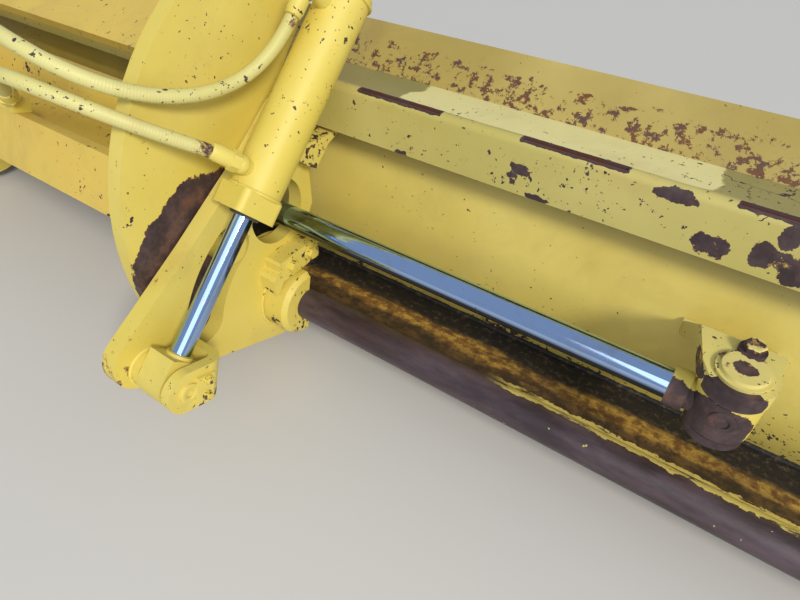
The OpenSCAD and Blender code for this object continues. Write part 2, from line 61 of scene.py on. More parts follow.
# Places are written as on the part's drawing: millimetres from the slide bar's axis,
# x along the blade, y forward and z up. at() turns them into the frame's metres.
mm = 0.001
halfMm = 0.0005
barAxis = np.array([0.0, -0.170, -0.710])
onBar, xAxis, yAxis, zAxis = (0, 0, 0), (1, 0, 0), (0, 1, 0), (0, 0, 1)


def at(x, y, z):
    return np.stack(np.broadcast_arrays(x, y, z), axis=-1) * mm + barAxis


# ---- camera, floor and light
camera = {
    "place": (1.500, -0.869, 0.214),
    "right": (0.8207, 0.5714, 0.0),
    "up": (-0.3865, 0.5551, 0.7366),
    "lens": 27.0,
    "sensor": 36.0,
    "clip": (0.02, 60),
}
studio = {
    "floorColor": (0.62, 0.60, 0.57, 1.0),
    "floorSize": 14.0,
    "floorDrop": 0.002,
    "floorRoughness": 0.9,
    "backdropColor": (0.93, 0.94, 0.95, 1.0),
    "backdropStrength": 1.0,
    "skyColor": (0.78, 0.87, 1.0, 1.0),
    "skyStrength": 0.52,
    "sunPower": 2.35,
    "sunColor": (1.0, 0.95, 0.86),
    "sunSoftness": 12.0,
    "sunFrom": (0.85, -0.50, 0.70),
    "fillPower": 28.0,
    "fillPlace": (2.2, -2.6, 1.4),
    "fillAim": (0.7, -0.2, -0.5),
    "fillSize": 2.5,
}


def addObject(name, data):
    obj = bpy.data.objects.new(name, data)
    bpy.context.scene.collection.objects.link(obj)
    return obj


def makeCamera():
    data = bpy.data.cameras.new("photoCamera")
    data.lens = camera["lens"]
    data.sensor_width = camera["sensor"]
    data.clip_start, data.clip_end = camera["clip"]
    obj = addObject("photoCamera", data)
    right = Vector(camera["right"]).normalized()
    up = Vector(camera["up"]).normalized()
    back = right.cross(up)
    turn = Matrix((right, up, back)).transposed().to_4x4()
    obj.matrix_world = Matrix.Translation(camera["place"]) @ turn
    bpy.context.scene.camera = obj


def makeFloor():
    low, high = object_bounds()
    half = studio["floorSize"] / 2
    cx, cy, z = (low.x + high.x) / 2, (low.y + high.y) / 2, low.z - studio["floorDrop"]
    corners = [(cx + u * half, cy + v * half, z) for u, v in ((-1, -1), (1, -1), (1, 1), (-1, 1))]
    mesh = bpy.data.meshes.new("floor")
    mesh.from_pydata(corners, [], [(0, 1, 2, 3)])
    floor = addObject("floor", mesh)
    mat = bpy.data.materials.new("floorPaint")
    mat.use_nodes = True
    bsdf = mat.node_tree.nodes["Principled BSDF"]
    bsdf.inputs["Base Color"].default_value = studio["floorColor"]
    bsdf.inputs["Roughness"].default_value = studio["floorRoughness"]
    mesh.materials.append(mat)


def makeSky():
    # a blue sky lights the part, and the camera sees a plain backdrop
    world = bpy.data.worlds.new("studioSky")
    bpy.context.scene.world = world
    world.use_nodes = True
    tree = world.node_tree
    tree.nodes.clear()
    out = tree.nodes.new("ShaderNodeOutputWorld")
    mix = tree.nodes.new("ShaderNodeMixShader")
    sky = tree.nodes.new("ShaderNodeBackground")
    seen = tree.nodes.new("ShaderNodeBackground")
    path = tree.nodes.new("ShaderNodeLightPath")
    for node, name in ((sky, "sky"), (seen, "backdrop")):
        node.inputs["Color"].default_value = studio[name + "Color"]
        node.inputs["Strength"].default_value = studio[name + "Strength"]
    tree.links.new(path.outputs["Is Camera Ray"], mix.inputs["Fac"])
    tree.links.new(sky.outputs["Background"], mix.inputs[1])
    tree.links.new(seen.outputs["Background"], mix.inputs[2])
    tree.links.new(mix.outputs["Shader"], out.inputs["Surface"])


def makeLights():
    sunData = bpy.data.lights.new("sun", "SUN")
    sunData.energy = studio["sunPower"]
    sunData.color = studio["sunColor"]
    sunData.angle = math.radians(studio["sunSoftness"])
    sun = addObject("sun", sunData)
    sun.rotation_euler = Vector(studio["sunFrom"]).to_track_quat("Z", "Y").to_euler()

    fillData = bpy.data.lights.new("fill", "AREA")
    fillData.energy = studio["fillPower"]
    fillData.size = studio["fillSize"]
    fill = addObject("fill", fillData)
    fill.location = studio["fillPlace"]
    away = fill.location - Vector(studio["fillAim"])
    fill.rotation_euler = away.to_track_quat("Z", "Y").to_euler()


makeCamera()
makeFloor()
makeSky()
makeLights()
bpy.context.scene.view_settings.view_transform = "Standard"
print("camera and studio made")


# ---- shapes
thinnest = 2e-5
washerHeight = 4
# a weld bead's spacing of rings, its ripples' pitch and its slow waves' length, in metres
weld = {"step": 0.004, "ripple": 0.010, "wave": 0.07, "fewest": 8, "sides": 8}


def meshFromGrid(points, closeRound=False, capEnds=False):
    # points is a grid (rows, columns, 3); neighbours become four-sided faces
    rows, cols = points.shape[:2]
    index = np.arange(rows * cols).reshape(rows, cols)
    if closeRound:
        index = np.concatenate([index, index[:, :1]], axis=1)
    a, b, c, d = index[:-1, :-1], index[:-1, 1:], index[1:, 1:], index[1:, :-1]
    faces = np.stack([a, b, c, d], axis=-1).reshape(-1, 4).tolist()
    if capEnds:
        faces.append(index[0, :cols][::-1].tolist())
        faces.append(index[-1, :cols].tolist())
    return points.reshape(-1, 3), faces


def joinParts(parts):
    # several (points, faces) parts as one
    points, faces, start = [], [], 0
    for pts, fcs in parts:
        points.append(pts)
        faces += [[i + start for i in f] for f in fcs]
        start += len(pts)
    return np.concatenate(points), faces


def makePiece(name, parts, body, material, angle=40):
    points, faces = joinParts(parts)
    mesh = bpy.data.meshes.new(name)
    mesh.from_pydata(points.tolist(), [], faces)
    mesh.update()
    mesh.polygons.foreach_set("use_smooth", np.ones(len(mesh.polygons), bool))
    mesh.set_sharp_from_angle(angle=math.radians(angle))
    mesh.materials.append(material)
    obj = addObject(name, mesh)
    if body:
        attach(obj, body)
    return obj


def unit(v):
    return v / np.maximum(np.linalg.norm(v, axis=-1, keepdims=True), 1e-12)


def circle(sides):
    return np.linspace(0, 2 * math.pi, sides, endpoint=False)[:, None]


def runAlong(points):
    # how far along the line each of its points lies
    steps = np.linalg.norm(np.diff(points, axis=0), axis=1)
    return np.concatenate([[0], np.cumsum(steps)])


def evenly(points, run, count):
    # the same line with its points at equal steps of length, and where they lie along it
    want = np.linspace(0, run[-1], count)
    return want, np.stack([np.interp(want, run, points[:, k]) for k in range(3)], axis=1)


def tube(path, radius, sides=16, up=(0.1, 0.2, 1.0)):
    # circles of that radius, one at each point of the path and square to it
    path = np.asarray(path, float)
    way = unit(np.gradient(path, axis=0))
    across = unit(np.cross(way, np.array(up, float)))
    over = np.cross(across, way)
    turn = circle(sides)
    r = np.broadcast_to(np.asarray(radius, float), (len(path),))[:, None, None]
    ring = np.cos(turn) * across[:, None] + np.sin(turn) * over[:, None]
    return meshFromGrid(path[:, None] + r * ring, closeRound=True, capEnds=True)


def turned(profile, centre, axis, sides=32):
    # a turned shape: (height, radius) pairs in mm go round an axis through centre
    h, r = np.asarray(profile, float).T * mm
    n = unit(np.asarray(axis, float))
    u = unit(np.cross(n, [0.31, 0.17, 0.93]))
    v = np.cross(n, u)
    turn = circle(sides)
    ring = np.cos(turn) * u + np.sin(turn) * v
    r = np.maximum(r, thinnest)[:, None, None]
    pts = np.asarray(centre) + h[:, None, None] * n + r * ring
    return meshFromGrid(pts, closeRound=True, capEnds=True)


def hexHead(centre, axis, across, height):
    # a bolt's head of six sides with rounded corners, on a round washer
    r = across / math.sqrt(3)
    washer = [(0, r * 1.25), (3.4, r * 1.25), (washerHeight, r * 1.2), (4.01, 0)]
    head = [(0, r), (height * 0.82, r), (height, r * 0.9), (height + 0.2, 0)]
    base = np.asarray(centre) + unit(np.asarray(axis, float)) * washerHeight * mm
    return joinParts([turned(washer, centre, axis, 24), turned(head, base, axis, 6)])


def weldLine(points, width):
    # a bead along the points (metres) whose ripples follow one another
    p = np.asarray(points, float)
    run = runAlong(p)
    want, line = evenly(p, run, max(weld["fewest"], int(run[-1] / weld["step"])))
    ripples = 0.14 * np.abs(np.sin(want / weld["ripple"] * math.pi))
    waves = 0.08 * np.sin(want / weld["wave"])
    return tube(line, width * halfMm * (1 + ripples + waves), weld["sides"])


# ---- finishes
finish = {
    "paint": (0.67, 0.53, 0.090, 1),
    "faded": (0.74, 0.62, 0.165, 1),
    "bare": (0.040, 0.022, 0.024, 1),
    "bareLight": (0.082, 0.052, 0.058, 1),
    "rust": (0.235, 0.085, 0.022, 1),
    "ochre": (0.36, 0.20, 0.04, 1),
    "grease": (0.012, 0.010, 0.009, 1),
    "greaseLight": (0.085, 0.062, 0.042, 1),
    "soil": (0.23, 0.17, 0.105, 1),
    # the chrome's colour is tinted blue: a painted reflection of blue sky
    "chromeSkyBlue": (0.37, 0.52, 0.82, 1),
    "chromeFilm": (0.30, 0.30, 0.31, 1),
    # dark colour for the shift rod's underside: a painted reflection of dark ground
    "groundReflection": (0.020, 0.020, 0.024, 1),
    "steel": (0.30, 0.28, 0.26, 1),
    "steelDark": (0.16, 0.145, 0.135, 1),
    "steelRust": (0.17, 0.07, 0.03, 1),
    "board": (0.62, 0.49, 0.105, 1),
    # the moldboard's paint darkened as painted shade under the rail
    "boardShaded": (0.34, 0.25, 0.065, 1),
    "boardFadedShaded": (0.52, 0.41, 0.13, 1),
    "boardRust": (0.20, 0.072, 0.020, 1),
    "olive": (0.47, 0.40, 0.105, 1),
    # darker copies of the olive: painted shade on the rail's top
    "oliveShaded": (0.27, 0.235, 0.075, 1),
    "oliveFaded": (0.58, 0.50, 0.165, 1),
    "oliveFadedShaded": (0.40, 0.34, 0.12, 1),
    # pale paint for the rail's top: painted sunlight on paint also faded by the sun
    "sunlitFaded": (0.80, 0.72, 0.33, 1),
    "slotRust": (0.14, 0.040, 0.016, 1),
    "bar": (0.030, 0.018, 0.022, 1),
    "barLight": (0.098, 0.066, 0.080, 1),
    "barRust": (0.11, 0.048, 0.026, 1),
    "groove": (0.030, 0.018, 0.010, 1),
    "grooveLight": (0.115, 0.060, 0.020, 1),
    "shelf": (0.17, 0.072, 0.016, 1),
    "shelfLight": (0.50, 0.31, 0.055, 1),
    "crustLight": (0.10, 0.066, 0.036, 1),
    "paintRemains": (0.62, 0.50, 0.14, 1),
    "beam": (0.70, 0.49, 0.085, 1),
    "bracket": (0.58, 0.50, 0.17, 1),
    "cap": (0.60, 0.52, 0.19, 1),
    "shadow": (0.004, 0.003, 0.003, 1),
    "shadowLight": (0.008, 0.006, 0.005, 1),
    "rubber": (0.035, 0.033, 0.03, 1),
    "rubberLight": (0.07, 0.062, 0.05, 1),
    "hose": (0.58, 0.52, 0.165, 1),
    "hoseFaded": (0.66, 0.62, 0.26, 1),
    "hoseBare": (0.045, 0.030, 0.032, 1),
}
# worn spots: centre and reach in mm, raggedness of the rim, its grain, and weight
wear = {
    "leg": ((655, -133, 172), (42, 198, 194), 0.16, 16.0, 1.0),
    "shell": ((700, 0, 0), (90, 46, 46), 0.3, 30.0, 0.5),
    "tipEye": ((751, -380, 60), (60, 30, 30), 0.6, 26.0, 0.22),
    "shiftEye": [((1572, -40, 214), (70, 62, 52), 0.26, 17.0, 1.0),
                 ((1508, -4, 206), (42, 52, 44), 0.30, 18.0, 0.95)],
    "bracket": [((1576, -44, 276), (76, 42, 30), 0.26, 24.0, 0.95),
                ((1585, -20, 180), (72, 62, 30), 0.4, 18.0, 0.9),
                ((1526, 20, 276), (14, 60, 18), 0.45, 26.0, 0.6)],
    "cap": [((1579, 57, 300), (27, 24, 16), 0.5, 40.0, 0.4),
            ((1579, 12, 303), (17, 15, 8), 0.7, 44.0, 0.35)],
    "rail": [((1155, 165, 396), (21, 20, 12), 0.75, 30.0, 0.7),
             ((1194, 165, 356), (30, 20, 10), 0.8, 30.0, 0.7),
             ((1400, 165, 434), (34, 20, 12), 0.9, 30.0, 0.7),
             ((1470, 165, 372), (36, 20, 22), 0.9, 26.0, 0.7),
             ((1540, 165, 384), (20, 20, 24), 0.9, 28.0, 0.7),
             ((1562, 165, 425), (16, 20, 22), 0.9, 28.0, 0.7),
             ((1610, 165, 380), (60, 20, 34), 0.9, 22.0, 0.7)],
    "hose": [((722, -150, 446), (34, 44, 40), 0.35, 22.0, 0.30),
             ((735, 45, 578), (40, 60, 60), 0.4, 18.0, 0.26)],
}
# noises: scale, detail, roughness and, where it isn't none, distortion
grain = {
    "clouds": (2.3, 3.0, 0.5),
    "mottle": (11.0, 6.0, 0.62),
    "patches": (8.0, 9.0, 0.70, 0.3),
    "lumps": (75.0, 6.0, 0.7),
    "pits": (170.0, 3.0, 0.6),
    "waves": (14.0, 3.0, 0.5),
    "barClouds": (12.0, 7.0, 0.68),
    "barFine": (42.0, 7.0, 0.72),
    "grooveEdge": (9.0, 6.0, 0.65),
    "shore": (26.0, 7.0, 0.72),
    "steelCuts": (22.0, 6.0, 0.6),
}
# masks made from noises: the noise, and the limits between which the mask rises
grainMasks = {
    "warmth": ((4.6, 6.0, 0.62, 0.4), (0.50, 0.74)),
    "crowd": ((4.2, 4.0, 0.65), (0.36, 0.74)),
    "bareTone": ((26.0, 7.0, 0.72), (0.36, 0.66)),
    "bareRust": ((13.0, 8.0, 0.72), (0.50, 0.70)),
    "grime": ((3.7, 8.0, 0.7, 0.6), (0.44, 0.74)),
    "freckles": ((46.0, 7.0, 0.76), (0.47, 0.58)),
    "freckleClouds": ((3.4, 4.0, 0.6), (0.40, 0.60)),
    "crackAreas": ((5.0, 3.0, 0.5), (0.40, 0.50)),
    "barRust": ((5.0, 6.0, 0.7), (0.50, 0.72)),
    "shelfBreaks": ((14.0, 7.0, 0.7), (0.36, 0.56)),
    "remains": ((46.0, 7.0, 0.78), (0.42, 0.47)),
    "barFlecks": ((55.0, 4.0, 0.65), (0.70, 0.73)),
    "scratches": ((210.0, 3.0, 0.6), (0.60, 0.72)),
    "rodFilm": ((13.0, 5.0, 0.65), (0.50, 0.72)),
    "rodFlecks": ((90.0, 3.0, 0.6), (0.735, 0.75)),
    "steelRust": ((11.0, 7.0, 0.7), (0.44, 0.66)),
}
# chips come in three sizes: the noise's scale, and how much rarer than the smallest
chipSizes = ((105.0, 0.0), (42.0, 0.012), (19.0, 0.035))
chipNoise, rimNoise = (3.5, 0.62), (7.0, 0.68)
bumpDepth, steelBumpDepth = 0.0006, 0.0008
# where the finishes change, in mm; pairs are the two ends of a band or of a change
plateEdge = {"corner": (0, -387, 127), "out": (0, -0.583, 0.812), "band": (-17.0, 30.0),
             "rearFrom": (0, -300, 100), "rearWay": (0, -1, 0), "rear": (0.0, 160.0)}
# the moldboard's band under the rail is painted shade, where bare spots also rust
board = {"top": (430.0, 462.0), "shadeAndRustBand": (350.0, 500.0), "grease": (-60.0, -20.0),
         "splash": (-40.0, 60.0), "rightEnd": (900.0, 1700.0)}
rail = {"corner": (0, 165, 449), "slope": 8, "middle": (204, 0, 0), "halfPitch": 171.5,
        "slotIn": (5.2, 14.8), "slotUp": (-9.6, -0.8), "slot": (-1.0, 89.5),
        "rimIn": (4.0, 16.5), "rimUp": (-9.6, 1.0), "rim": (-1.0, 88.0),
        "rightEnd": (900.0, 1350.0), "lip": (-1.0, 6.0), "onTop": (10.0, 24.0),
        # the pale patch on the rail's top is painted sunlight on sun-faded paint
        "cracked": (1050.0, 1250.0), "sunlitFaded": (740.0, 1180.0)}
bar = {"groove": (16.0, 32.0), "shelf": (62.0, 84.0), "crust": (98.0, 118.0),
       "glossEnd": (16.0, 60.0), "paintUp": (-2.0, 42.0), "paintIn": (9.0, 44.0),
       "paintFrom": (1080.0, 1420.0), "flecks": (26.0, 6.0)}


def setInputs(tree, node, values):
    # a value is either another node's output, which is linked, or a plain value
    for key, value in values.items():
        if isinstance(value, bpy.types.NodeSocket):
            tree.links.new(value, node.inputs[key])
        else:
            node.inputs[key].default_value = value
    return node


def addNode(tree, kind, values, **settings):
    node = tree.nodes.new("ShaderNode" + kind)
    for key, value in settings.items():
        setattr(node, key, value)
    return setInputs(tree, node, values)


def newGroup(name, inputs, outputs):
    group = bpy.data.node_groups.new(name, "ShaderNodeTree")
    for label, kind, value in inputs:
        socket = group.interface.new_socket(label, in_out="INPUT", socket_type="NodeSocket" + kind)
        if value is not None:
            socket.default_value = value
    for label, kind in outputs:
        group.interface.new_socket(label, in_out="OUTPUT", socket_type="NodeSocket" + kind)
    return group, group.nodes.new("NodeGroupInput"), group.nodes.new("NodeGroupOutput")


def calc(tree, operation, a, b=0.0, clamp=False):
    return addNode(tree, "Math", {0: a, 1: b}, operation=operation, use_clamp=clamp).outputs[0]


def times(tree, a, b):
    return calc(tree, "MULTIPLY", a, b)


def plus(tree, a, b, clamp=False):
    return calc(tree, "ADD", a, b, clamp)


def minus(tree, a, b):
    return calc(tree, "SUBTRACT", a, b)


def strongest(tree, masks):
    total = masks[0]
    for mask in masks[1:]:
        total = calc(tree, "MAXIMUM", total, mask)
    return total


def vectorMath(tree, operation, values, output=0):
    return addNode(tree, "VectorMath", values, operation=operation).outputs[output]


def mixColor(tree, factor, a, b):
    node = tree.nodes.new("ShaderNodeMix")
    node.data_type, node.blend_type = "RGBA", "MIX"
    return setInputs(tree, node, {0: factor, 6: a, 7: b}).outputs[2]


def mixValue(tree, factor, a, b):
    return addNode(tree, "Mix", {0: factor, 2: a, 3: b}).outputs[0]


def ramp(tree, value, low, high):
    limits = {"Value": value, "From Min": low, "From Max": high}
    return addNode(tree, "MapRange", limits, interpolation_type="SMOOTHSTEP").outputs[0]


def noise(tree, vector, scale, detail, rough, distort=0.0):
    node = addNode(tree, "TexNoise", {"Vector": vector, "Scale": scale, "Detail": detail,
                                      "Roughness": rough, "Distortion": distort})
    return node.outputs[0]


def grainMask(tree, where, name):
    settings, limits = grainMasks[name]
    return ramp(tree, noise(tree, where, *settings), *limits)


def swing(tree, value, amount):
    # noise between 0 and 1, made to swing about 0
    return times(tree, minus(tree, value, 0.5), amount)


def stretched(tree, where, scale):
    return addNode(tree, "Mapping", {"Vector": where, "Scale": scale}).outputs[0]


def along(tree, where, origin, direction):
    # how far, in mm, a point lies from origin in that direction
    away = vectorMath(tree, "SUBTRACT", {0: where, 1: tuple(at(*origin))})
    d = np.array(direction, float)
    d = tuple(1000.0 * d / np.linalg.norm(d))
    return vectorMath(tree, "DOT_PRODUCT", {0: away, 1: d}, "Value")


def band(tree, value, low, high, soft):
    # 1 between low and high, 0 beyond them by soft
    rise = ramp(tree, value, low - soft, low)
    fall = minus(tree, 1.0, ramp(tree, value, high, high + soft))
    return times(tree, rise, fall)


def ragged(tree, mask, where, scale, amount):
    # a soft mask cut to a rough-edged one by noise
    shake = swing(tree, noise(tree, where, scale, *rimNoise), amount * 2.0)
    shaken = plus(tree, mask, shake)
    return times(tree, ramp(tree, shaken, 0.46, 0.54), ramp(tree, mask, 0.0, 0.06))


def makeSpotGroup():
    # 1 inside an ellipsoid with a ragged rim, 0 outside
    group, given, result = newGroup(
        "raggedSpot",
        [("Vector", "Vector", None), ("Centre", "Vector", None),
         ("Reach", "Vector", (0.1, 0.1, 0.1)), ("Ragged", "Float", 0.5),
         ("Grain", "Float", 12.0), ("Rim", "Float", 0.12)],
        [("Mask", "Float")],
    )
    place = given.outputs["Vector"]
    away = vectorMath(group, "SUBTRACT", {0: place, 1: given.outputs["Centre"]})
    scaled = vectorMath(group, "DIVIDE", {0: away, 1: given.outputs["Reach"]})
    far = vectorMath(group, "LENGTH", {0: scaled}, "Value")
    rough = noise(group, place, given.outputs["Grain"], *rimNoise)
    shake = swing(group, rough, given.outputs["Ragged"])
    edge = plus(group, far, times(group, shake, 2.0))
    inner = minus(group, 1.0, given.outputs["Rim"])
    limits = {"Value": edge, "From Min": inner, "From Max": 1.0, "To Min": 1.0, "To Max": 0.0}
    node = addNode(group, "MapRange", limits)
    group.links.new(node.outputs[0], result.inputs["Mask"])
    return group


def makePaintGroup():
    # old paint: fading, specks and chips down to dark metal with a rusty rim, grime and
    # lumps of grease
    group, given, result = newGroup(
        "agedPaint",
        [("Vector", "Vector", None), ("Paint", "Color", finish["paint"]),
         ("Faded", "Color", finish["faded"]), ("Bare", "Color", finish["bare"]),
         ("Rust", "Color", finish["rust"]), ("Specks", "Float", 0.3), ("Patches", "Float", 0.1),
         ("Worn", "Float", 0.0), ("Grease", "Float", 0.0), ("Grime", "Float", 0.3),
         ("Bleach", "Float", 0.0), ("Seed", "Float", 0.0)],
        [("Color", "Color"), ("Roughness", "Float"), ("Metal", "Float"), ("Height", "Float")],
    )
    get = given.outputs
    shift = addNode(group, "CombineXYZ", {"X": get["Seed"]})
    place = vectorMath(group, "ADD", {0: get["Vector"], 1: shift.outputs[0]})

    # paint that fades in broad clouds, with a faint mottle
    broad = noise(group, place, *grain["clouds"])
    cloudy = noise(group, place, *grain["mottle"])
    fade = times(group, ramp(group, broad, 0.38, 0.68), 0.65)
    fade = plus(group, fade, swing(group, cloudy, 0.55), clamp=True)
    # a given mask lifts the fade fully; the rail uses it for a patch of painted sunlight on
    # sun-faded paint
    fade = strongest(group, [fade, get["Bleach"]])
    color = mixColor(group, fade, get["Paint"], get["Faded"])
    warm = grainMask(group, place, "warmth")
    color = mixColor(group, times(group, warm, 0.28), color, finish["ochre"])

    # patches: where a rough noise, lifted by the worn mask, passes a limit
    rough = noise(group, place, *grain["patches"])
    limit = minus(group, 0.77, times(group, get["Patches"], 0.3))
    lifted = plus(group, rough, times(group, get["Worn"], 0.55))
    depth = minus(group, lifted, limit)
    patch = ramp(group, depth, 0.0, 0.010)
    near = minus(group, 1.0, ramp(group, depth, 0.0, 0.07))
    rim = times(group, ramp(group, depth, -0.040, 0.0), near)

    # specks, thicker in some places than in others
    crowd = grainMask(group, place, "crowd")
    many = times(group, plus(group, times(group, crowd, 0.75), 0.25), get["Specks"])
    chipLimit = minus(group, 0.745, times(group, many, 0.25))
    chips = []
    for scale, lift in chipSizes:
        speck = noise(group, place, scale, *chipNoise)
        over = minus(group, speck, plus(group, chipLimit, lift))
        chips.append(ramp(group, over, 0.0, 0.018))
    chip = strongest(group, chips)

    tone = grainMask(group, place, "bareTone")
    bareTone = mixColor(group, tone, get["Bare"], finish["bareLight"])
    rusty = grainMask(group, place, "bareRust")
    bareTone = mixColor(group, times(group, rusty, 0.45), bareTone, get["Rust"])
    color = mixColor(group, times(group, rim, 0.85), color, get["Rust"])
    gone = strongest(group, [patch, chip])
    color = mixColor(group, gone, color, bareTone)

    # grime is a soft veil, and grease lies thick and dark
    dirt = times(group, grainMask(group, place, "grime"), get["Grime"])
    color = mixColor(group, dirt, color, finish["soil"])
    lump = noise(group, place, *grain["lumps"])
    thick = ramp(group, lump, 0.52, 0.72)
    greaseTone = mixColor(group, thick, finish["grease"], finish["greaseLight"])
    color = mixColor(group, get["Grease"], color, greaseTone)
    group.links.new(color, result.inputs["Color"])

    shine = plus(group, 0.40, times(group, cloudy, 0.22))
    for mask, dulls in ((gone, 0.10), (dirt, 0.3), (get["Grease"], 0.12)):
        shine = plus(group, shine, times(group, mask, dulls), clamp=True)
    group.links.new(shine, result.inputs["Roughness"])
    group.links.new(times(group, gone, 0.2), result.inputs["Metal"])
    pits = times(group, noise(group, place, *grain["pits"]), 0.12)
    film = minus(group, 1.0, gone)
    wavy = times(group, noise(group, place, *grain["waves"]), 0.5)
    height = plus(group, plus(group, film, pits), wavy)
    lumps = times(group, times(group, lump, 7.0), get["Grease"])
    group.links.new(plus(group, height, lumps), result.inputs["Height"])
    return group


spotGroup = makeSpotGroup()
paintGroup = makePaintGroup()


def startMaterial(name):
    mat = bpy.data.materials.new(name)
    mat.use_nodes = True
    tree = mat.node_tree
    bsdf = tree.nodes["Principled BSDF"]
    coords = tree.nodes.new("ShaderNodeTexCoord")
    return mat, tree, bsdf, coords.outputs["Object"]


def placeGroup(tree, group, values):
    node = tree.nodes.new("ShaderNodeGroup")
    node.node_tree = group
    return setInputs(tree, node, values)


def bumpFrom(tree, bsdf, height, distance=bumpDepth, strength=0.6):
    bump = addNode(tree, "Bump", {"Height": height, "Distance": distance, "Strength": strength})
    tree.links.new(bump.outputs["Normal"], bsdf.inputs["Normal"])


def spots(tree, where, places):
    # the strongest of several worn spots
    masks = []
    for centre, reach, rag, fineness, weight in places:
        node = placeGroup(tree, spotGroup, {
            "Vector": where, "Centre": tuple(at(*centre)), "Reach": tuple(r * mm for r in reach),
            "Ragged": rag, "Grain": fineness})
        masks.append(times(tree, node.outputs["Mask"], weight))
    return strongest(tree, masks)


def bothSides(spot):
    # a worn spot on the right, and its mirror image on the left
    (x, y, z), *rest = spot
    return [((x, y, z), *rest), ((-x, y, z), *rest)]


def finishFrom(tree, bsdf, where, **values):
    # the paint group with its values, linked to the shader
    aged = placeGroup(tree, paintGroup, {"Vector": where, **values})
    tree.links.new(aged.outputs["Color"], bsdf.inputs["Base Color"])
    tree.links.new(aged.outputs["Roughness"], bsdf.inputs["Roughness"])
    tree.links.new(aged.outputs["Metal"], bsdf.inputs["Metallic"])
    bumpFrom(tree, bsdf, aged.outputs["Height"])


def paintMaterial(name, worn=(), **values):
    mat, tree, bsdf, where = startMaterial(name)
    if worn:
        values["Worn"] = spots(tree, where, worn)
    finishFrom(tree, bsdf, where, **values)
    return mat


def tiltPlateMaterial():
    # chips crowd along the plate's upper rear edge
    mat, tree, bsdf, where = startMaterial("tiltPlatePaint")
    edge = along(tree, where, plateEdge["corner"], plateEdge["out"])
    edge = band(tree, edge, *plateEdge["band"], 30.0)
    rear = along(tree, where, plateEdge["rearFrom"], plateEdge["rearWay"])
    rear = band(tree, rear, *plateEdge["rear"], 120.0)
    chipped = times(tree, edge, plus(tree, times(tree, rear, 0.7), 0.3))
    finishFrom(tree, bsdf, where, Worn=times(tree, chipped, 0.34), Specks=0.40, Patches=0.04,
               Grime=0.08, Seed=2.0)
    return mat


def moldboardMaterial():
    # rusty freckles under the top edge, a band of painted shade under the rail where bare spots
    # also turn rusty, and grease thrown up where the web meets the back
    mat, tree, bsdf, where = startMaterial("moldboardPaint")
    height = along(tree, where, onBar, zAxis)
    length = along(tree, where, onBar, xAxis)
    top = band(tree, height, *board["top"], 30.0)
    freckle = grainMask(tree, where, "freckles")
    cloud = grainMask(tree, where, "freckleClouds")
    rightEnd = ramp(tree, length, *board["rightEnd"])
    dense = plus(tree, times(tree, cloud, 0.32), times(tree, rightEnd, 0.28))
    worn = times(tree, top, freckle)
    worn = times(tree, worn, plus(tree, times(tree, dense, 0.70), 0.56))
    # painted shade under the rail's overhang darkens the paint; bare spots there turn rusty
    shadeAndRust = times(tree, band(tree, height, *board["shadeAndRustBand"], 90.0), 0.85)
    paint = mixColor(tree, shadeAndRust, finish["board"], finish["boardShaded"])
    faded = mixColor(tree, shadeAndRust, finish["faded"], finish["boardFadedShaded"])
    rusty = mixColor(tree, shadeAndRust, finish["bare"], finish["boardRust"])
    grease = ragged(tree, band(tree, height, *board["grease"], 24.0), where, 17.0, 0.8)
    splash = band(tree, height, *board["splash"], 75.0)
    specks = plus(tree, 0.34, times(tree, splash, 0.75))
    finishFrom(tree, bsdf, where, Worn=worn, Grease=grease, Specks=specks, Patches=0.02,
               Grime=0.16, Paint=paint, Faded=faded, Bare=rusty, Seed=7.0)
    return mat


